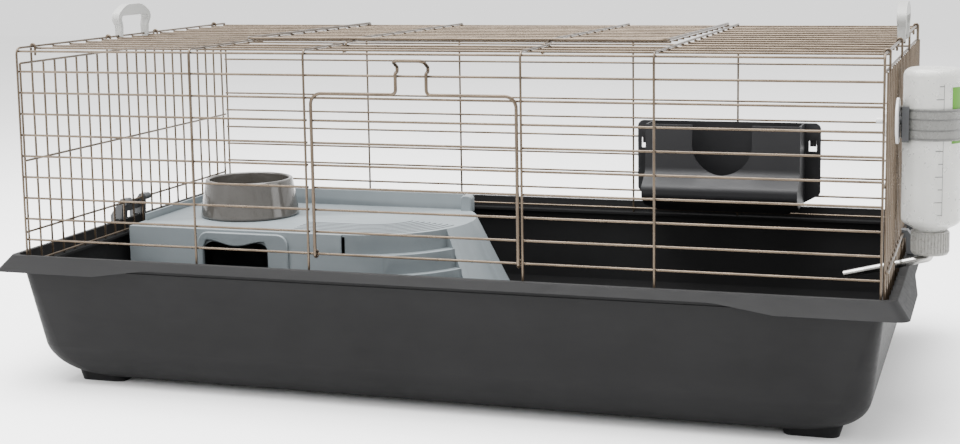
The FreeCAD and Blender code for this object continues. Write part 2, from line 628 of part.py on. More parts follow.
def house():
    """Open-bottomed shell: the stairs are hollow too, stepped inside as they are outside."""
    low_z = HOUSE_FLOOR_Z - 10.0
    shell = house_masses().cut(main_block(HOUSE_WALL, low_z, STAIR_CENTRE[0] + 4.0))
    inner_walls = block((STAIR_CENTRE[0] - 6.0, HOUSE_FRONT + HOUSE_WALL, low_z),
                        (RIGHT, HOUSE_BACK - HOUSE_WALL, HOUSE_TOP_Z - HOUSE_WALL))
    for height in step_heights(HOUSE_TOP_Z):
        hollow = Part.makeCylinder(cone_radius(height) - STAIR_THICKNESS,
                                   height - HOUSE_WALL - low_z, Vector(*STAIR_CENTRE, low_z))
        shell = shell.cut(hollow.common(inner_walls))
    back_rim = block((HOUSE_LEFT, HOUSE_BACK - HOUSE_WALL, HOUSE_TOP_Z - 1.0),
                     (STAIR_CENTRE[0] + 84.0, HOUSE_BACK, HOUSE_TOP_Z + BACK_RIM))
    left_rim = block((HOUSE_LEFT, HOUSE_FRONT + 40.0, HOUSE_TOP_Z - 1.0),
                     (HOUSE_LEFT + HOUSE_WALL, HOUSE_BACK, HOUSE_TOP_Z + LEFT_RIM))
    return fused([shell.cut(house_doorway(low_z)), back_rim, left_rim])


def bowl():
    """Heavy food bowl: wide foot, narrower mouth, turned about its own axis."""
    wall = BOWL_WALL
    base_z = HOUSE_TOP_Z
    points = [(0, 0, 3.0), (BOWL_BASE_R - 8.0, 0, 3.0), (BOWL_BASE_R - 6.0, 0, 0), (BOWL_BASE_R, 0, 0),
              (BOWL_TOP_R, 0, BOWL_HEIGHT), (BOWL_TOP_R - wall, 0, BOWL_HEIGHT),
              (BOWL_TOP_R - wall + 3.0, 0, 12.0), (0, 0, 12.0)]
    outline = rounded_path(points, [1.0, 1.0, 3.0, 2.4, 2.0, 14.0])
    outline.append(Part.LineSegment(Vector(0, 0, 12.0), Vector(0, 0, 3.0)).toShape())
    face = Part.Face(Part.Wire(Part.__sortEdges__(outline)))
    turned = face.revolve(Vector(0, 0, 0), Vector(0, 0, 1), 360)
    turned.translate(Vector(*BOWL_CENTRE, base_z))
    return turned


# ---- hay rack ---------------------------------------------------------------------------
def rack_side(inset, top_z):
    """Rack seen from the side, as (inward from the back plate, height): basket over a trough."""
    low = RACK_BOTTOM_Z
    return [(inset, top_z), (inset, low + inset), (42.0, low + inset),
            (RACK_BELLY - inset, low + 20.0 + 0.5 * inset), (RACK_BELLY - inset, low + 34.0 - 0.5 * inset),
            (RACK_DEPTH + 2.0 - inset, low + 50.0 - 0.5 * inset), (RACK_DEPTH - 2.0 - inset, top_z)]


def rack_front(inset, side_in, top_z):
    """Rack seen from the front, as (x, height), with its lower corners cut off."""
    run, rise = RACK_CHAMFER
    slope = rise / run
    lean = math.hypot(1.0, slope)
    left = RACK_LEFT + side_in + inset
    corner_z = RACK_BOTTOM_Z + rise - slope * (side_in + inset) + lean * inset
    foot_x = RACK_LEFT + (rise + (lean - 1.0) * inset) / slope
    half = [(left, top_z), (left, corner_z), (foot_x, RACK_BOTTOM_Z + inset)]
    return half + [(RACK_LEFT + RACK_RIGHT - x, z) for x, z in half[::-1]]


def rack_basket(inset, top_z):
    side = [(RACK_LEFT, RACK_BACK_Y - inward, z) for inward, z in rack_side(inset, top_z)]
    edges = rounded_path(side, [4.0, 10.0, 10.0, 8.0, 12.0])
    edges.append(Part.LineSegment(Vector(*side[-1]), Vector(*side[0])).toShape())
    across = Part.Face(Part.Wire(Part.__sortEdges__(edges))).extrude(Vector(RACK_RIGHT - RACK_LEFT, 0, 0))
    front = rack_front(inset, RACK_TAB, top_z + 1.0)
    outline = Part.makePolygon([Vector(x, RACK_BACK_Y + 1.0, z) for x, z in front + [front[0]]])
    return across.common(Part.Face(outline).extrude(Vector(0, -RACK_BELLY - 10.0, 0)))


def rack_plate():
    """Flat back with rounded corners, wider than the basket, with a hole in each tab."""
    middle = (RACK_LEFT + RACK_RIGHT) / 2
    corners = rack_front(0, 0, RACK_TOP_Z)
    points = [(middle, RACK_TOP_Z)] + corners + [(middle, RACK_TOP_Z)]
    outline = rounded_path([(x, RACK_BACK_Y, z) for x, z in points], [8.0, 6.0, 6.0, 6.0, 6.0, 8.0])
    plate = Part.Face(Part.Wire(Part.__sortEdges__(outline))).extrude(Vector(0, -RACK_WALL, 0))
    wide, high = RACK_WINDOW
    for low_x in (RACK_LEFT + 5.0, RACK_RIGHT - 5.0 - wide):
        plate = plate.cut(block((low_x, RACK_BACK_Y - 10.0, RACK_TOP_Z - 22.0 - high),
                                (low_x + wide, RACK_BACK_Y + 10.0, RACK_TOP_Z - 22.0)))
    return plate


def rack_body():
    """Hay basket on its back plate, with a deep round notch in the front."""
    shell = rack_basket(0, RACK_TOP_Z).cut(rack_basket(RACK_WALL, RACK_TOP_Z + 10.0))
    middle = (RACK_LEFT + RACK_RIGHT) / 2
    near_y, far_y = RACK_BACK_Y - RACK_BELLY - 5.0, RACK_BACK_Y - 30.0
    centre_z = RACK_TOP_Z - RACK_NOTCH_DROP
    notch = rod((middle, near_y, centre_z), (middle, far_y, centre_z), RACK_NOTCH_R)
    throat = block((middle - RACK_NOTCH_R, near_y, centre_z),
                   (middle + RACK_NOTCH_R, far_y, RACK_TOP_Z + 5.0))
    return fused([shell.cut(notch.fuse(throat)), rack_plate()])


def rack_hooks():
    """Two flat hooks on the rack's tabs that hang over a back wall wire."""
    wire_z = LEVEL_Z[6]
    over_z = wire_z + BAR_R + GAP
    behind_y = BACK + BAR_R + GAP
    thick, width = 2.5, 8.0
    hooks = []
    for low in (RACK_LEFT + 6.0, RACK_RIGHT - 6.0 - width):
        points = [(RACK_BACK_Y, wire_z - 8.0), (RACK_BACK_Y, over_z + thick),
                  (behind_y + thick, over_z + thick), (behind_y + thick, wire_z - 6.0),
                  (behind_y, wire_z - 6.0), (behind_y, over_z),
                  (RACK_BACK_Y + 1.6, over_z), (RACK_BACK_Y + 1.6, wire_z - 8.0)]
        outline = Part.makePolygon([Vector(low, y, z) for y, z in points + [points[0]]])
        hooks.append(Part.Face(outline).extrude(Vector(width, 0, 0)))
    return group(hooks)


# ---- water bottle -----------------------------------------------------------------------
def turned_z(points, bends, centre):
    """Solid of revolution about a vertical axis from a half outline that starts and ends on it."""
    edges = rounded_path([(r, 0, z) for r, z in points], bends)
    first, last = points[0], points[-1]
    edges.append(Part.LineSegment(Vector(last[0], 0, last[1]), Vector(first[0], 0, first[1])).toShape())
    face = Part.Face(Part.Wire(Part.__sortEdges__(edges)))
    shape = face.revolve(Vector(0, 0, 0), Vector(0, 0, 1), 360)
    shape.translate(Vector(*centre, 0))
    return shape


def bottle_body():
    wall = BOTTLE_WALL
    neck_z, shoulder_z, top_z = BOTTLE_SHOULDER_Z - NECK_LENGTH, BOTTLE_SHOULDER_Z, BOTTLE_TOP_Z
    outer = turned_z([(0, neck_z), (NECK_R, neck_z), (NECK_R, shoulder_z - 1.0),
                      (BOTTLE_R, shoulder_z + 7.0), (BOTTLE_R, top_z), (0, top_z)],
                     [0.5, 1.5, 6.0, 8.0], BOTTLE_CENTRE)
    inner = turned_z([(0, neck_z - 1.0), (NECK_R - wall, neck_z - 1.0), (NECK_R - wall, shoulder_z + 0.4),
                      (BOTTLE_R - wall, shoulder_z + 8.0), (BOTTLE_R - wall, top_z - wall),
                      (0, top_z - wall)],
                     [0.5, 1.5, 5.0, 6.6], BOTTLE_CENTRE)
    return outer.cut(inner)


def bottle_cap():
    """Ribbed screw cap, open at the top, with a hole where the drip tube leaves."""
    low, high = TUBE_TOP_Z, BOTTLE_SHOULDER_Z - 2.0
    body_r = CAP_R - 1.0
    outer = turned_z([(0, low), (body_r, low), (body_r, high), (0, high)], [2.0, 0.8], BOTTLE_CENTRE)
    hollow = rod((*BOTTLE_CENTRE, low + CAP_FLOOR), (*BOTTLE_CENTRE, high + 1.0), NECK_R + GAP)
    drain = rod((*BOTTLE_CENTRE, low - 1.0), (*BOTTLE_CENTRE, low + CAP_FLOOR + 1.4), TUBE_BORE_R)
    ribs = []
    for index in range(36):
        turn = math.radians(10 * index)
        x = BOTTLE_CENTRE[0] + (body_r - 0.1) * math.cos(turn)
        y = BOTTLE_CENTRE[1] + (body_r - 0.1) * math.sin(turn)
        ribs.append(rod((x, y, low + 3.0), (x, y, high - 1.5), 1.0))
    return fused([outer] + ribs).cut(hollow).cut(drain)


def cap_seal():
    low = TUBE_TOP_Z + CAP_FLOOR
    neck_z = BOTTLE_SHOULDER_Z - NECK_LENGTH
    ring = rod((*BOTTLE_CENTRE, low), (*BOTTLE_CENTRE, neck_z - 0.05), NECK_R - 0.1)
    return ring.cut(rod((*BOTTLE_CENTRE, low - 1.0), (*BOTTLE_CENTRE, neck_z + 1.0), 9.0))


def tube_direction():
    return (Vector(*TUBE_TIP) - Vector(*TUBE_ELBOW)).normalize()


def drip_tube():
    """Steel tube that leaves the cap, turns and slopes down between the end wires."""
    points = [(BOTTLE_CENTRE[0], BOTTLE_CENTRE[1], TUBE_TOP_Z), TUBE_ELBOW, TUBE_TIP]
    outer = bent_wire(rounded_path(points, 4.6), TUBE_R)
    inner = bent_wire(rounded_path(points, 4.6), TUBE_BORE_R)
    along = tube_direction()
    seat_start = Vector(*TUBE_TIP) - along * SEAT_LENGTH
    seat = Part.makeCylinder(TUBE_R - 0.2, SEAT_LENGTH, seat_start, along)
    outlet = Part.makeCylinder(SEAT_HOLE_R, SEAT_LENGTH + 2.0, seat_start - along, along)
    return outer.cut(inner).fuse(seat).cut(outlet).removeSplitter()


def valve_ball():
    """Steel ball that stops the tube's tip until it is pushed in."""
    from_tip = SEAT_LENGTH + math.sqrt(BALL_R ** 2 - SEAT_HOLE_R ** 2) + 0.05
    return Part.makeSphere(BALL_R, Vector(*TUBE_TIP) - tube_direction() * from_tip)


def bottle_strap():
    x, y = BOTTLE_CENTRE
    ring = rod((x, y, STRAP_LOW_Z), (x, y, STRAP_HIGH_Z), BOTTLE_STRAP_R)
    return ring.cut(rod((x, y, STRAP_LOW_Z - 1.0), (x, y, STRAP_HIGH_Z + 1.0), BOTTLE_R + GAP))


CLAMP_Y = (end_upright_y(4) + end_upright_y(5)) / 2
END_OUTSIDE_X = end_plane(1) + BAR_R


def clamp_disc():
    """Round outer half of the clamp, flat against the end uprights."""
    disc = rod((END_OUTSIDE_X, CLAMP_Y, CLAMP_Z), (END_OUTSIDE_X + CLAMP_DISC, CLAMP_Y, CLAMP_Z),
               CLAMP_DISC_R)
    rim_edges = [edge for edge in disc.Edges if edge.CenterOfMass.x > END_OUTSIDE_X + CLAMP_DISC - 0.1]
    return disc.makeFillet(1.2, rim_edges)


def bottle_bracket():
    """Stem and block that join the strap's front to the clamp disc."""
    stem_x = END_OUTSIDE_X + CLAMP_DISC
    stem = rod((stem_x, CLAMP_Y, CLAMP_Z), (stem_x + 6.0, CLAMP_Y, CLAMP_Z), 4.0)
    slab = block((stem_x + 3.0, CLAMP_Y - 8.0, STRAP_LOW_Z - 2.0),
                 (stem_x + 10.0, CLAMP_Y + 6.0, STRAP_HIGH_Z + 2.0))
    ring = rod((*BOTTLE_CENTRE, STRAP_LOW_Z - 30.0), (*BOTTLE_CENTRE, STRAP_HIGH_Z + 30.0), BOTTLE_STRAP_R)
    return fused([stem, slab]).cut(ring)


def clamp_screw():
    """Threaded stud from the disc through the end uprights, drawn plain."""
    return rod((RIGHT - 16.0, CLAMP_Y, CLAMP_Z), (END_OUTSIDE_X, CLAMP_Y, CLAMP_Z), CLAMP_SCREW_R)


def clamp_nut():
    """Round nut with grip ribs that pulls the clamp tight from inside."""
    x_high = end_plane(1) - BAR_R - GAP
    x_low = x_high - CLAMP_NUT_WIDTH
    body = rod((x_low, CLAMP_Y, CLAMP_Z), (x_high, CLAMP_Y, CLAMP_Z), CLAMP_NUT_R)
    grips = []
    for index in range(12):
        turn = math.radians(30 * index)
        y = CLAMP_Y + CLAMP_NUT_R * math.cos(turn)
        z = CLAMP_Z + CLAMP_NUT_R * math.sin(turn)
        grips.append(rod((x_low + 1.0, y, z), (x_high - 1.0, y, z), 1.6))
    bore = rod((x_low - 1.0, CLAMP_Y, CLAMP_Z), (x_high + 1.0, CLAMP_Y, CLAMP_Z),
               CLAMP_SCREW_R + FIT)
    return fused([body] + grips).cut(bore)


# ---- write every node -------------------------------------------------------------------
NODES = {
    "tray": tray,
    "front_panel_long_wires": front_long_wires,
    "front_panel_cross_wires": front_cross_wires,
    "roof_long_wires": roof_long_wires,
    "back_panel_long_wires": back_long_wires,
    "back_panel_cross_wires": back_cross_wires,
    "left_end_uprights": lambda: end_uprights(-1),
    "right_end_uprights": lambda: end_uprights(1),
    "left_end_rails": lambda: end_rails(-1),
    "right_end_rails": lambda: end_rails(1),
    "left_end_hooks": lambda: end_hooks(-1),
    "right_end_hooks": lambda: end_hooks(1),
    "front_door_frame": door_frame,
    "front_door_bars": door_bars,
    "roof_lid_frame": lid_frame,
    "roof_lid_cross_wires": lid_cross_wires,
    "roof_lid_bars": lid_bars,
    "roof_lid_latches": lid_latches,
    "left_handle": lambda: mirrored_x(handle()),
    "right_handle": handle,
    "left_tray_clip": lambda: mirrored_x(tray_clip()),
    "right_tray_clip": tray_clip,
    "hideaway_house": house,
    "food_bowl": bowl,
    "hay_rack": rack_body,
    "hay_rack_hooks": rack_hooks,
    "bottle": bottle_body,
    "bottle_cap": bottle_cap,
    "cap_seal": cap_seal,
    "drip_tube": drip_tube,
    "valve_ball": valve_ball,
    "bottle_strap": bottle_strap,
    "bottle_bracket": bottle_bracket,
    "clamp_disc": clamp_disc,
    "clamp_screw": clamp_screw,
    "clamp_nut": clamp_nut,
}

os.makedirs("parts", exist_ok=True)
for node, make in NODES.items():
    shape = make()
    shape.translate(Vector(FRAME_SHIFT_X, 0, 0))
    shape.exportStep("parts/" + node + ".step")
    print(node, "solids", len(shape.Solids), "valid", shape.isValid(), "volume", round(shape.Volume))
print("shift", FRAME_SHIFT_X)
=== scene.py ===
import math

import bmesh
import bpy
from mathutils import Matrix, Vector


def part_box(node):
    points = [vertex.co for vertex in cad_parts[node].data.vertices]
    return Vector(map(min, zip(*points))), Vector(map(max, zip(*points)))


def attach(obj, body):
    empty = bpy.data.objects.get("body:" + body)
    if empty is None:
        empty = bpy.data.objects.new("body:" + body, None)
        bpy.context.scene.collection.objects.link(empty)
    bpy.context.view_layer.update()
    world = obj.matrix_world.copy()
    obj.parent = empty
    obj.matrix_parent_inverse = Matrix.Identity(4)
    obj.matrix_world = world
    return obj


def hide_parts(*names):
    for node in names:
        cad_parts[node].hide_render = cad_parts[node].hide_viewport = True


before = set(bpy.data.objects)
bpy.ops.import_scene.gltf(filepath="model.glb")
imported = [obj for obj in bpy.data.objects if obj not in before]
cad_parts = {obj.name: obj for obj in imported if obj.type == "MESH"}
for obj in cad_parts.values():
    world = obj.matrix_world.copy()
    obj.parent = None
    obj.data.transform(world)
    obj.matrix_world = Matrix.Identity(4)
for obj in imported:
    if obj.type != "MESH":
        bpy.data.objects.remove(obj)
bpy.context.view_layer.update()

MM = 0.001
WIRE_R = 1.3 * MM
WIRE_BEND = 7.0 * MM
WIRE_SIDES = 14
ARC_STEPS = 7
SHARP_ANGLE = math.radians(35.0)


def node_middle(node):
    low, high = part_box(node)
    return (low + high) / 2


# the wire top is centred on its roof wires, so sizes from its middle are placed with this
MIDDLE_X = node_middle("roof_long_wires").x


def place(x, y, z):
    """Millimetres from the middle of the wire top, on the ground, to metres in the frame."""
    return Vector((x * MM + MIDDLE_X, y * MM, z * MM))


# ---- mesh helpers ------------------------------------------------------------------------
def new_object(name, mesh, body, material, replaced=()):
    """Add a piece that rides on a body and, if named, stands in for CAD nodes."""
    thing = bpy.data.objects.new(name, mesh)
    bpy.context.scene.collection.objects.link(thing)
    thing.data.materials.append(material)
    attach(thing, body)
    if replaced:
        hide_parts(*replaced)
    return thing


def mesh_from(builder, name, smooth=True):
    """Run a builder on an empty mesh, with edges kept sharp only past SHARP_ANGLE."""
    bm = bmesh.new()
    builder(bm)
    bmesh.ops.recalc_face_normals(bm, faces=bm.faces)
    mesh = bpy.data.meshes.new(name)
    bm.to_mesh(mesh)
    bm.free()
    if smooth:
        mesh.polygons.foreach_set("use_smooth", [True] * len(mesh.polygons))
        mesh.set_sharp_from_angle(angle=SHARP_ANGLE)
    return mesh


def rounded(points, bend):
    """Polyline whose inner corners are replaced by arcs of one radius."""
    points = [Vector(point) for point in points]
    path = [points[0]]
    for before, corner, after in zip(points, points[1:], points[2:]):
        to_before, to_after = (before - corner).normalized(), (after - corner).normalized()
        half = to_before.angle(to_after) / 2
        reach = bend / math.tan(half)
        centre = corner + (to_before + to_after).normalized() * (bend / math.sin(half))
        start = (corner + to_before * reach - centre).normalized()
        end = (corner + to_after * reach - centre).normalized()
        for step in range(ARC_STEPS + 1):
            path.append(centre + start.slerp(end, step / ARC_STEPS) * bend)
    path.append(points[-1])
    return path


def ring_of(bm, centre, across, up, radius, sides):
    """One closed ring of vertices round a centre."""
    ring = []
    for turn in range(sides):
        angle = 2 * math.pi * turn / sides
        sideways = centre + across * (radius * math.cos(angle))
        ring.append(bm.verts.new(sideways + up * (radius * math.sin(angle))))
    return ring


def join_rings(bm, low, high):
    """Band of four-sided faces between two rings."""
    for index in range(len(low)):
        following = (index + 1) % len(low)
        bm.faces.new((low[index], low[following], high[following], high[index]))


def sweep(bm, path, radius, sides=12):
    """Round tube along a path, its frame carried along without twist, with softened ends."""
    path = [Vector(point) for point in path]
    tangents = []
    for index in range(len(path)):
        before, after = path[max(index - 1, 0)], path[min(index + 1, len(path) - 1)]
        tangents.append((after - before).normalized())
    side = tangents[0].orthogonal().normalized()
    rows = []
    for point, tangent in zip(path, tangents):
        side = (side - tangent * side.dot(tangent)).normalized()
        other = tangent.cross(side)
        rows.append((point, side.copy(), other, radius))
    soft = radius * 0.35
    first, last = rows[0], rows[-1]
    rows[0] = (first[0] + tangents[0] * soft, first[1], first[2], radius)
    rows[-1] = (last[0] - tangents[-1] * soft, last[1], last[2], radius)
    rows.insert(0, (first[0], first[1], first[2], radius - soft))
    rows.append((last[0], last[1], last[2], radius - soft))
    rings = [ring_of(bm, point, across, up, size, sides) for point, across, up, size in rows]
    for low, high in zip(rings, rings[1:]):
        join_rings(bm, low, high)
    bm.faces.new(rings[0][::-1])
    bm.faces.new(rings[-1])


def lathe(bm, profile, centre, sides=96):
    """Turn a closed loop of (radius, height) pairs about Z."""
    across, up = Vector((1, 0, 0)), Vector((0, 1, 0))
    rings = [ring_of(bm, centre + Vector((0, 0, height)), across, up, radius, sides)
             for radius, height in profile]
    for low, high in zip(rings, rings[1:] + rings[:1]):
        join_rings(bm, low, high)


def slab(bm, outline, thickness, to_world):
    """Closed flat outline given depth; to_world turns (u, v, w) into a place."""
    low = [bm.verts.new(to_world(u, v, 0.0)) for u, v in outline]
    high = [bm.verts.new(to_world(u, v, thickness)) for u, v in outline]
    bm.faces.new(low[::-1])
    bm.faces.new(high)
    join_rings(bm, low, high)


def loose_boxes(node):
    """Lowest and highest corner of each separate wire in a CAD node."""
    bm = bmesh.new()
    bm.from_mesh(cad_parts[node].data)
    bmesh.ops.remove_doubles(bm, verts=bm.verts, dist=1e-6)
    seen, boxes = set(), []
    for start in bm.verts:
        if start in seen:
            continue
        stack, members = [start], []
        seen.add(start)
        while stack:
            vert = stack.pop()
            members.append(vert.co.copy())
            for edge in vert.link_edges:
                other = edge.other_vert(vert)
                if other not in seen:
                    seen.add(other)
                    stack.append(other)
        boxes.append((Vector([min(co[axis] for co in members) for axis in range(3)]),
                      Vector([max(co[axis] for co in members) for axis in range(3)])))
    bm.free()
    return boxes


# ---- materials ---------------------------------------------------------------------------
class Finish:
    """One procedural material: a shader with named inputs and textures in object space."""

    def __init__(self, name):
        self.material = bpy.data.materials.new(name)
        self.material.use_nodes = True
        self.nodes, self.links = self.material.node_tree.nodes, self.material.node_tree.links
        self.shader = self.nodes["Principled BSDF"]
        self.coords = self.nodes.new("ShaderNodeTexCoord").outputs["Object"]

    def set(self, **values):
        for name, value in values.items():
            self.shader.inputs[name.replace("_", " ")].default_value = value
        return self

    def noise(self, scale, detail=3.0, rough=0.5, stretch=None):
        source = self.coords
        if stretch:
            mapping = self.nodes.new("ShaderNodeMapping")
            mapping.inputs["Scale"].default_value = stretch
            self.links.new(source, mapping.inputs["Vector"])
            source = mapping.outputs["Vector"]
        texture = self.nodes.new("ShaderNodeTexNoise")
        texture.inputs["Scale"].default_value = scale
        texture.inputs["Detail"].default_value = detail
        texture.inputs["Roughness"].default_value = rough
        self.links.new(source, texture.inputs["Vector"])
        return texture.outputs["Fac"]

    def ramp(self, value, stops):
        ramp = self.nodes.new("ShaderNodeValToRGB")
        elements = ramp.color_ramp.elements
        while len(elements) < len(stops):
            elements.new(0.5)
        for element, (at, colour) in zip(elements, stops):
            element.position = at
            element.color = (*colour, 1.0) if len(colour) == 3 else colour
        self.links.new(value, ramp.inputs["Fac"])
        return ramp.outputs["Color"]

    def spread(self, value, low, high):
        limits = self.nodes.new("ShaderNodeMapRange")
        limits.inputs["From Min"].default_value = 0.3
        limits.inputs["From Max"].default_value = 0.7
        limits.inputs["To Min"].default_value = low
        limits.inputs["To Max"].default_value = high
        self.links.new(value, limits.inputs["Value"])
        return limits.outputs["Result"]

    def curvature_light_mask(self):
        """Convex edges read high, hollows low; used to paint highlights on edges and shade in hollows.
        """
        return self.nodes.new("ShaderNodeNewGeometry").outputs["Pointiness"]

    def mix(self, share, first, second, blend="MIX"):
        mixer = self.nodes.new("ShaderNodeMix")
        mixer.data_type = "RGBA"
        mixer.blend_type = blend
        sockets = (mixer.inputs[0], mixer.inputs[6], mixer.inputs[7])
        for value, socket in zip((share, first, second), sockets):
            if hasattr(value, "is_linked"):
                self.links.new(value, socket)
            else:
                socket.default_value = value if isinstance(value, float) else (*value, 1.0)
        return mixer.outputs[2]

    def colour(self, output):
        self.links.new(output, self.shader.inputs["Base Color"])
        return self

    def roughness(self, output):
        self.links.new(output, self.shader.inputs["Roughness"])
        return self

    def bump(self, layers):
        normal = None
        for height, strength, distance in layers:
            bump = self.nodes.new("ShaderNodeBump")
            bump.inputs["Strength"].default_value = strength
            bump.inputs["Distance"].default_value = distance
            self.links.new(height, bump.inputs["Height"])
            if normal:
                self.links.new(normal, bump.inputs["Normal"])
            normal = bump.outputs["Normal"]
        self.links.new(normal, self.shader.inputs["Normal"])
        return self


GRAIN_SCALE = 1900.0
GRAIN_DEPTH = 0.06 * MM


def moulded(name, dark, light, rough=(0.38, 0.5), gloss=0.5, edge_highlight=0.22):
    """Injection-moulded plastic: soft colour drift, fine grain, painted highlights on convex edges,
    faint scuffs.
    """
    finish = Finish(name).set(Specular_IOR_Level=gloss)
    drift = finish.ramp(finish.noise(9.0, 4.0, 0.55), [(0.32, dark), (0.68, light)])
    # convex edges are lightened towards a paler colour as a painted highlight
    edge_highlight_colour = tuple(min(channel * 1.9 + 0.02, 1.0) for channel in light)
    edge_highlight_mask = finish.ramp(finish.curvature_light_mask(), [(0.505, (0, 0, 0)), (0.56, (edge_highlight, edge_highlight, edge_highlight))])
    finish.colour(finish.mix(edge_highlight_mask, drift, edge_highlight_colour))
    scuffs = finish.noise(38.0, 7.0, 0.7, stretch=(1.0, 2.6, 5.0))
    finish.roughness(finish.spread(scuffs, *rough))
    finish.bump([(finish.noise(26.0, 2.0), 0.05, 0.0008),
                 (finish.noise(GRAIN_SCALE, 2.0, 0.6), 0.3, GRAIN_DEPTH)])
    return finish


def wire_paint():
    """Champagne powder coat: metallic drift, orange peel, painted shade darkening the hollows."""
    finish = Finish("wire_paint").set(Metallic=0.75, Coat_Weight=0.15, Coat_Roughness=0.22)
    drift = finish.ramp(finish.noise(34.0, 4.0),
                        [(0.3, (0.062, 0.044, 0.028)), (0.72, (0.105, 0.078, 0.053))])
    # concave spots are darkened as painted shade
    hollow_shade = finish.ramp(finish.curvature_light_mask(), [(0.44, (0.55, 0.5, 0.46)), (0.52, (1, 1, 1))])
    finish.colour(finish.mix(1.0, drift, hollow_shade, "MULTIPLY"))
    finish.roughness(finish.spread(finish.noise(160.0, 5.0), 0.24, 0.4))
    finish.bump([(finish.noise(700.0, 2.0), 0.16, 0.00012)])
    return finish.material


def bowl_glaze():
    """Glossy dark glaze with a fine speckle under a clear coat."""
    finish = Finish("bowl_glaze").set(Coat_Weight=0.6, Coat_Roughness=0.06, Specular_IOR_Level=0.3)
    speckle = finish.ramp(finish.noise(820.0, 2.0, 0.7),
                          [(0.34, (0.02, 0.018, 0.015)), (0.44, (0.05, 0.046, 0.041))])
    drift = finish.ramp(finish.noise(22.0, 3.0),
                        [(0.3, (0.04, 0.037, 0.033)), (0.7, (0.06, 0.056, 0.051))])
    finish.colour(finish.mix(0.35, drift, speckle))
    finish.roughness(finish.spread(finish.noise(60.0, 4.0), 0.12, 0.24))
    finish.bump([(finish.noise(48.0, 2.0), 0.06, 0.0006)])
    return finish.material


def steel():
    """Polished tube steel with a faint brushed grain along it."""
    finish = Finish("steel").set(Metallic=1.0)
    finish.colour(finish.ramp(finish.noise(90.0, 3.0),
                              [(0.3, (0.24, 0.235, 0.225)), (0.7, (0.36, 0.355, 0.34))]))
    brushed = finish.noise(420.0, 6.0, 0.65, stretch=(0.12, 1.0, 1.0))
    finish.roughness(finish.spread(brushed, 0.12, 0.3))
    finish.bump([(brushed, 0.08, 0.00005)])
    return finish.material


def translucent(name, tint, transmission, rough):
    """Milky plastic that lets some light through, slightly cloudy in patches."""
    finish = Finish(name).set(Transmission_Weight=transmission, IOR=1.42)
    cloudy = tuple(channel * 0.88 for channel in tint)
    finish.colour(finish.ramp(finish.noise(28.0, 4.0), [(0.3, cloudy), (0.7, tint)]))
    finish.roughness(finish.spread(finish.noise(130.0, 5.0), rough * 0.8, rough * 1.3))
    finish.bump([(finish.noise(30.0, 2.0), 0.05, 0.4 * MM)])
    return finish.material


WIRE = wire_paint()
# the last share given to moulded sets how strongly convex edges are lightened as a painted highlight
TRAY = moulded("tray_plastic", (0.0038, 0.0038, 0.004), (0.006, 0.006, 0.0063),
               (0.5, 0.62), 0.13).material
HANDLE = moulded("handle_plastic", (0.19, 0.19, 0.18), (0.25, 0.25, 0.24),
                 (0.4, 0.5), edge_highlight=0.12).material
CLIP = moulded("clip_plastic", (0.02, 0.021, 0.023), (0.03, 0.032, 0.034), gloss=0.4).material
HOUSE = moulded("house_plastic", (0.098, 0.114, 0.122), (0.128, 0.146, 0.155),
                (0.4, 0.52), 0.35, 0.3).material
# dark finish painting the shade inside the landing's grooves
HOUSE_GROOVE_SHADE = moulded("house_groove_shade", (0.03, 0.036, 0.04), (0.045, 0.052, 0.056),
                     edge_highlight=0.0).material
RACK = moulded("rack_plastic", (0.006, 0.006, 0.0068), (0.0105, 0.0105, 0.0115),
               (0.44, 0.56), 0.2).material
CLAMP = moulded("clamp_plastic", (0.5, 0.5, 0.5), (0.62, 0.62, 0.62),
                (0.32, 0.44), edge_highlight=0.1).material
RUBBER = moulded("seal_rubber", (0.03, 0.03, 0.03), (0.045, 0.045, 0.045), (0.6, 0.75)).material
LABEL = moulded("label_green", (0.045, 0.15, 0.008), (0.065, 0.2, 0.014),
                (0.4, 0.5), 0.2, 0.0).material
TICK = moulded("tick_ink", (0.05, 0.05, 0.05), (0.08, 0.08, 0.08),
               (0.35, 0.45), edge_highlight=0.0).material
BOWL = bowl_glaze()
STEEL = steel()
BOTTLE = translucent("bottle_plastic", (0.66, 0.66, 0.63), 0.45, 0.3)
CAP = translucent("cap_plastic", (0.25, 0.245, 0.225), 0.2, 0.28)
STRAP_LINE = moulded("strap_line", (0.05, 0.05, 0.048), (0.075, 0.075, 0.07), edge_highlight=0.0).material
STRAP = translucent("strap_plastic", (0.17, 0.17, 0.16), 0.25, 0.25)


def soften(thing, width, harden=False):
    """Round a piece's sharp edges so that they catch the light."""
    soft = thing.modifiers.new("soft_edges", "BEVEL")
    soft.width = width
    soft.segments = 3
    soft.limit_method = "ANGLE"
    soft.angle_limit = math.radians(32.0)
    soft.use_clamp_overlap = True
    soft.harden_normals = harden


def dress(node, material, bevel=0.0):
    """Keep a CAD node's shape, give it its finish and, with a bevel, soft edges."""
    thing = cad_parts[node]
    thing.data.materials.clear()
    thing.data.materials.append(material)
    if bevel:
        flat = thing.modifiers.new("flat_faces", "DECIMATE")
        flat.decimate_type = "DISSOLVE"
        flat.angle_limit = math.radians(0.6)
        soften(thing, bevel, harden=True)


# ---- wires -------------------------------------------------------------------------------
HOOK_STEPS = 12
HOOK_TAIL_SHORTER = 7.0 * MM


def straight_wires(bm, node):
    """Each wire of a node redrawn as a round bar along its longest side."""
    for low, high in loose_boxes(node):
        size = high - low
        axis = max(range(3), key=lambda index: size[index])
        start = (low + high) / 2
        end = start.copy()
        start[axis], end[axis] = low[axis], high[axis]
        radius = min(size[index] for index in range(3) if index != axis) / 2
        sweep(bm, [start, end], max(radius, WIRE_R), WIRE_SIDES)


def bent_cross_wires(bm, node):
    """Front uprights that bend back over the roof."""
    for low, high in loose_boxes(node):
        x = (low.x + high.x) / 2
        y, z = low.y + WIRE_R, high.z - WIRE_R
        path = rounded([(x, y, low.z), (x, y, z), (x, high.y, z)], WIRE_BEND)
        sweep(bm, path, WIRE_R, WIRE_SIDES)


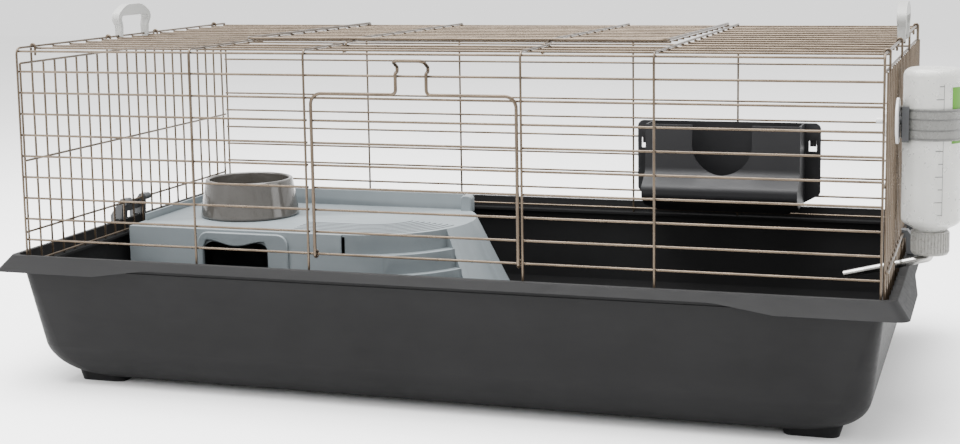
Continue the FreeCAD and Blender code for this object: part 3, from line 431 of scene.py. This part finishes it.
def end_hooks(bm, node):
    """Inverted U bends over the roof's end wires."""
    for low, high in loose_boxes(node):
        outward = 1.0 if (low.x + high.x) / 2 > MIDDLE_X else -1.0
        y, reach = (low.y + high.y) / 2, (high.x - low.x) / 2 - WIRE_R
        middle = Vector(((low.x + high.x) / 2, y, high.z - WIRE_R - reach))
        path = [Vector((middle.x + outward * reach, y, low.z))]
        for step in range(HOOK_STEPS + 1):
            angle = math.pi * step / HOOK_STEPS
            path.append(middle + Vector((outward * reach * math.cos(angle), 0, reach * math.sin(angle))))
        path.append(Vector((middle.x - outward * reach, y, low.z + HOOK_TAIL_SHORTER)))
        sweep(bm, path, WIRE_R, 12)


WIRE_TOP_STRAIGHT = ["front_panel_long_wires", "roof_long_wires", "back_panel_long_wires",
                     "back_panel_cross_wires", "left_end_uprights", "right_end_uprights",
                     "left_end_rails", "right_end_rails"]


def redraw(name, builder, node, body):
    """A smooth set of wires in place of one CAD node."""
    mesh = mesh_from(lambda bm: builder(bm, node), name)
    new_object(name, mesh, body, WIRE, [node])


for name in WIRE_TOP_STRAIGHT:
    redraw(name + "_smooth", straight_wires, name, "wire_top")
redraw("front_cross_smooth", bent_cross_wires, "front_panel_cross_wires", "wire_top")
for name in ("left_end_hooks", "right_end_hooks"):
    redraw(name + "_smooth", end_hooks, name, "wire_top")
redraw("door_bars_smooth", straight_wires, "front_door_bars", "front_door")
redraw("lid_bars_smooth", straight_wires, "roof_lid_bars", "roof_lid")
for name in ("front_door_frame", "roof_lid_frame", "roof_lid_cross_wires", "roof_lid_latches"):
    dress(name, WIRE)


# ---- plastic pieces that keep their CAD shape ---------------------------------------------
dress("tray", TRAY)
dress("hideaway_house", HOUSE, 1.6 * MM)
dress("hay_rack", RACK, 0.9 * MM)
dress("hay_rack_hooks", RACK)
for name in ("left_handle", "right_handle"):
    dress(name, HANDLE, 0.8 * MM)
for name in ("left_tray_clip", "right_tray_clip", "bottle_bracket"):
    dress(name, CLIP, 0.5 * MM)
dress("drip_tube", STEEL)
dress("valve_ball", STEEL)
dress("cap_seal", RUBBER)
dress("bottle_strap", STRAP)
for name in ("clamp_disc", "clamp_nut"):
    dress(name, CLAMP, 0.5 * MM)
dress("clamp_screw", CLAMP)
dress("food_bowl", BOWL)
dress("bottle", BOTTLE)
dress("bottle_cap", CAP)


# ---- trim on the hideaway house -------------------------------------------------------------
HOUSE_LOW, HOUSE_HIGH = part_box("hideaway_house")
LANDING_Z = 150.0
STAIR_CENTRE = (-175.0, 78.0)
TRIM_STANDS_OUT = 3.5 * MM
TRIM_FOOT_Z = 12.0
TRIM_TOP_Z = 147.5
DOOR_SIDES = (-360.0, -270.0)
DOOR_SHOULDER_Z = 128.0
DOOR_HEAD_Z = 137.0
DOOR_HEAD_SAG = 6.5
LINE_REACHES = range(52, 124, 9)
LINE_STRAIGHT = 75.0
LINE_TURN = 75.0
LINE_STEPS = 16
LINE_R = 0.7 * MM
POST_SIDES = (-91.0, -76.0)
POST_Z = (148.0, 170.0)
POST_DEPTH = 14.0 * MM


def house_front(x, z, outward):
    """A place on the front wall of the house, from millimetres and a distance outward."""
    spot = place(x, 0.0, z)
    return Vector((spot.x, HOUSE_LOW.y - outward, spot.z))


def wave(left, right, height, sag, steps=20):
    """Shallow dip between two sides, highest near both corners."""
    points = []
    for step in range(steps + 1):
        share = step / steps
        points.append((left + (right - left) * share,
                       height - sag * (0.5 - 0.5 * math.cos(2 * math.pi * share))))
    return points


def arch(left, right, low, top, bend):
    """Outline of a round-cornered arch, up the left side and down the right."""
    path = rounded([(left, 0, low), (left, 0, top), (right, 0, top), (right, 0, low)], bend)
    return [(point.x, point.z) for point in path]


def door_trim(bm):
    """Raised surround of the doorway, wider on the right, with a dipped head."""
    left, right = DOOR_SIDES
    outside = arch(left - 6.0, right + 26.0, TRIM_FOOT_Z, TRIM_TOP_Z, 14.0)
    inside = [(left, TRIM_FOOT_Z), (left + 1.5, DOOR_SHOULDER_Z)]
    inside += wave(left + 6.0, right - 6.0, DOOR_HEAD_Z, DOOR_HEAD_SAG)
    inside += [(right - 1.5, DOOR_SHOULDER_Z), (right, TRIM_FOOT_Z)]
    slab(bm, outside + inside[::-1], TRIM_STANDS_OUT, house_front)


def landing_lines(bm):
    """Curved non-slip lines on the landing, round the stairs' centre and on along the top: thin raised
    ribs in a dark finish that paints the shade of the real grooves.
    """
    x, y = STAIR_CENTRE
    for reach in LINE_REACHES:
        path = [place(x - LINE_STRAIGHT, y - reach, LANDING_Z)]
        for step in range(LINE_STEPS + 1):
            angle = math.radians(-90.0 + LINE_TURN * step / LINE_STEPS)
            path.append(place(x + reach * math.cos(angle), y + reach * math.sin(angle), LANDING_Z))
        sweep(bm, path, LINE_R, 8)


def end_post(bm):
    """Post that closes the back rim of the house's roof."""
    slab(bm, arch(*POST_SIDES, *POST_Z, 5.0), POST_DEPTH,
         lambda x, z, depth: Vector((place(x, 0, 0).x, HOUSE_HIGH.y - depth, z * MM)))


trim = new_object("house_door_trim", mesh_from(door_trim, "door_trim"), "house", HOUSE)
soften(trim, 1.6 * MM)
post = new_object("house_end_post", mesh_from(end_post, "end_post"), "house", HOUSE)
soften(post, 1.5 * MM)
# the landing ribs carry the dark finish that paints the grooves' shade
new_object("house_landing_groove_shade", mesh_from(landing_lines, "landing_lines"), "house",
           HOUSE_GROOVE_SHADE)


# ---- scale and patch on the bottle, lines on its strap ---------------------------------------
BOTTLE_LOW, BOTTLE_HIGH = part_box("bottle")
BOTTLE_AXIS = node_middle("bottle")
BOTTLE_RADIUS = (BOTTLE_HIGH.x - BOTTLE_LOW.x) / 2
PRINT_LIFT = 0.12 * MM
PRINT_ROOT = 0.3 * MM
SCALE_BEARING = -66.0
SCALE_FOOT_Z = 218.0
SCALE_PITCH = 13.0
SCALE_TICKS = 11
STRAP_LINE_LIFT = 0.05 * MM
STRAP_LINE_HALF = 0.8 * MM


def printed(bm, start, end, low, high):
    """Thin curved patch on the bottle between two bearings in degrees and two heights in mm."""
    steps = max(2, round(abs(end - start) / 4))
    rows = []
    for step in range(steps + 1):
        angle = math.radians(start + (end - start) * step / steps)
        outward = Vector((math.cos(angle), math.sin(angle), 0))
        row = []
        section = ((-PRINT_ROOT, low), (-PRINT_ROOT, high), (PRINT_LIFT, high), (PRINT_LIFT, low))
        for lift, height in section:
            spot = BOTTLE_AXIS + outward * (BOTTLE_RADIUS + lift)
            row.append(bm.verts.new((spot.x, spot.y, height * MM)))
        rows.append(row)
    for near, far in zip(rows, rows[1:]):
        join_rings(bm, near, far)
    bm.faces.new(rows[0][::-1])
    bm.faces.new(rows[-1])


def scale_marks(bm):
    """Upright line with long and short ticks by turns."""
    printed(bm, SCALE_BEARING - 0.5, SCALE_BEARING + 0.5, 217.0, 350.0)
    for index in range(SCALE_TICKS):
        height = SCALE_FOOT_Z + index * SCALE_PITCH
        reach = 15.0 if index % 2 else 9.0
        printed(bm, SCALE_BEARING - reach, SCALE_BEARING, height - 0.45, height + 0.45)


def strap_lines(bm):
    """Four dark lines round the strap, almost flush with it."""
    low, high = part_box("bottle_strap")
    radius = (high.x - low.x) / 2
    inner, outer = radius - PRINT_ROOT, radius + STRAP_LINE_LIFT
    profile = [(inner, -STRAP_LINE_HALF), (outer, -STRAP_LINE_HALF),
               (outer, STRAP_LINE_HALF), (inner, STRAP_LINE_HALF)]
    for share in (0.06, 0.33, 0.67, 0.94):
        height = low.z + (high.z - low.z) * share
        lathe(bm, profile, Vector((BOTTLE_AXIS.x, BOTTLE_AXIS.y, height)))


new_object("bottle_scale", mesh_from(scale_marks, "scale"), "bottle", TICK)
new_object("bottle_patch", mesh_from(lambda bm: printed(bm, -48.0, -6.0, 290.0, 347.0), "patch"),
           "bottle", LABEL)
new_object("strap_lines", mesh_from(strap_lines, "strap_lines"), "wire_top", STRAP_LINE)


# ---- floor, light and camera --------------------------------------------------------------
FLOOR_HALF = 6.0
CAMERA_PLACE = (0.5738, -1.8296, 0.5026)
CAMERA_TURN = (18.348, 7.776, -0.913)
CAMERA_LENS = 61.119
CAMERA_SHIFT = -0.0646


def floor():
    """Plain pale square of floor, centred on the frame's origin."""
    corners = ((-1, -1), (1, -1), (1, 1), (-1, 1))
    mesh = mesh_from(lambda bm: bm.faces.new([bm.verts.new((x * FLOOR_HALF, y * FLOOR_HALF, 0))
                                              for x, y in corners]), "floor", False)
    thing = bpy.data.objects.new("floor", mesh)
    bpy.context.scene.collection.objects.link(thing)
    finish = Finish("studio_floor").set(Roughness=0.75)
    finish.colour(finish.ramp(finish.noise(2.0), [(0.3, (0.93, 0.93, 0.93)), (0.7, (0.95, 0.95, 0.95))]))
    thing.data.materials.append(finish.material)


def area_light(name, at, toward, size, power):
    """Rectangular soft light aimed at a point."""
    light = bpy.data.lights.new(name, "AREA")
    light.shape = "RECTANGLE"
    light.size, light.size_y = size
    light.energy = power
    thing = bpy.data.objects.new(name, light)
    thing.location = at
    thing.rotation_euler = (Vector(toward) - Vector(at)).to_track_quat("-Z", "Y").to_euler()
    bpy.context.scene.collection.objects.link(thing)


floor()
area_light("overhead", (-0.3, -0.2, 2.4), (0, 0, 0.2), (2.6, 2.2), 280.0)
area_light("right_wall", (2.3, 0.5, 0.9), (0.3, 0, 0.2), (1.6, 1.6), 26.0)
area_light("left_front", (-1.9, -1.7, 1.3), (-0.2, 0, 0.2), (1.5, 1.5), 44.0)
world = bpy.data.worlds.new("studio")
world.use_nodes = True
world.node_tree.nodes["Background"].inputs["Color"].default_value = (1.0, 1.0, 1.0, 1.0)
world.node_tree.nodes["Background"].inputs["Strength"].default_value = 1.6
bpy.context.scene.world = world


def camera():
    """Camera turned left by yaw, down by pitch and rolled about its own view."""
    yaw, pitch, roll = (math.radians(value) for value in CAMERA_TURN)
    forward = Vector((-math.sin(yaw) * math.cos(pitch),
                      math.cos(yaw) * math.cos(pitch),
                      -math.sin(pitch)))
    right = forward.cross(Vector((0, 0, 1))).normalized()
    up = right.cross(forward)
    across = right * math.cos(roll) + up * math.sin(roll)
    upward = up * math.cos(roll) - right * math.sin(roll)
    lens = bpy.data.cameras.new("camera")
    lens.sensor_width = 36.0
    lens.lens = CAMERA_LENS
    lens.shift_y = CAMERA_SHIFT
    thing = bpy.data.objects.new("camera", lens)
    turned = Matrix((across, upward, -forward)).transposed().to_4x4()
    thing.matrix_world = Matrix.Translation(CAMERA_PLACE) @ turned
    bpy.context.scene.collection.objects.link(thing)
    bpy.context.scene.camera = thing


camera()
bpy.context.view_layer.update()
